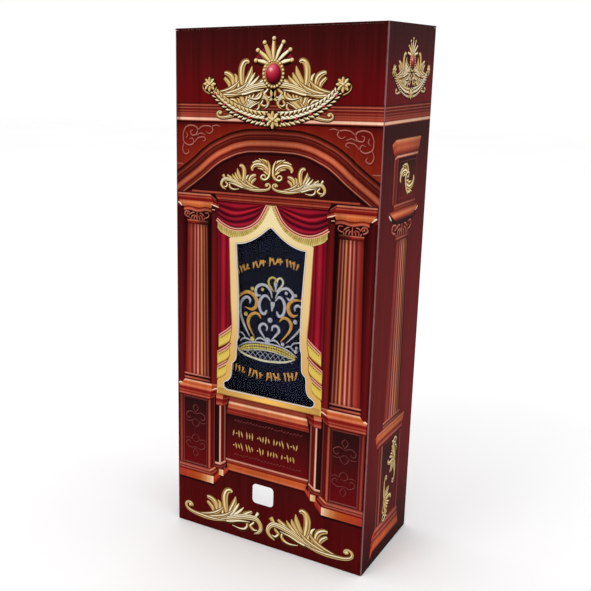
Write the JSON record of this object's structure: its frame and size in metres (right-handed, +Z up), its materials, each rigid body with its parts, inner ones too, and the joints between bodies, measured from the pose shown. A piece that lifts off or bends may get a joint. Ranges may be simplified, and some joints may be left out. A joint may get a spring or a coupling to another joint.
{
  "type": "boxed toy torah scroll",
  "caption": "Toy torah scroll in an embroidered velvet mantle, packed in a printed window carton with a hinged tuck-in lid and dust flaps.",
  "frame": {"origin": "on the ground under the middle of the carton", "axes": "+Z up along the carton's height, -Y out of the window, +X to the right seen from the window side"},
  "size_m": [0.206, 0.118, 0.5],
  "materials": {
    "printed_board": "satin lacquer over a mahogany print",
    "clear_film": "clear glossy plastic film",
    "mantle_velvet": "near-black velvet",
    "embroidery": "gold and silver satin stitch",
    "roller_wood": "satin varnish",
    "parchment_paper": "matte"
  },
  "bodies": {
    "carton": {"carton_body": "printed_board", "window_film": "clear_film", "scroll_mantle": "mantle_velvet", "scroll_parchment": "parchment_paper", "scroll_roller_left": "roller_wood", "scroll_roller_right": "roller_wood"},
    "lid": {"carton_lid": "printed_board"},
    "left_flap": {"dust_flap_left": "printed_board"},
    "right_flap": {"dust_flap_right": "printed_board"}
  },
  "joints": [
    {"name": "lid_fold", "type": "hinge", "parent": "carton", "child": "lid", "pos_m": [0, 0.059, 0.49835], "axis": [-1, 0, 0], "range_deg": [0, 180]},
    {"name": "left_flap_fold", "type": "hinge", "parent": "carton", "child": "left_flap", "pos_m": [-0.1012, 0, 0.49835], "axis": [0, -1, 0], "range_deg": [0, 90]},
    {"name": "right_flap_fold", "type": "hinge", "parent": "carton", "child": "right_flap", "pos_m": [0.1012, 0, 0.49835], "axis": [0, 1, 0], "range_deg": [0, 90]}
  ],
  "couplings": [
    {"joint": "left_flap_fold", "follows": "lid_fold", "ratio": 0.5},
    {"joint": "right_flap_fold", "follows": "lid_fold", "ratio": 0.5}
  ]
}
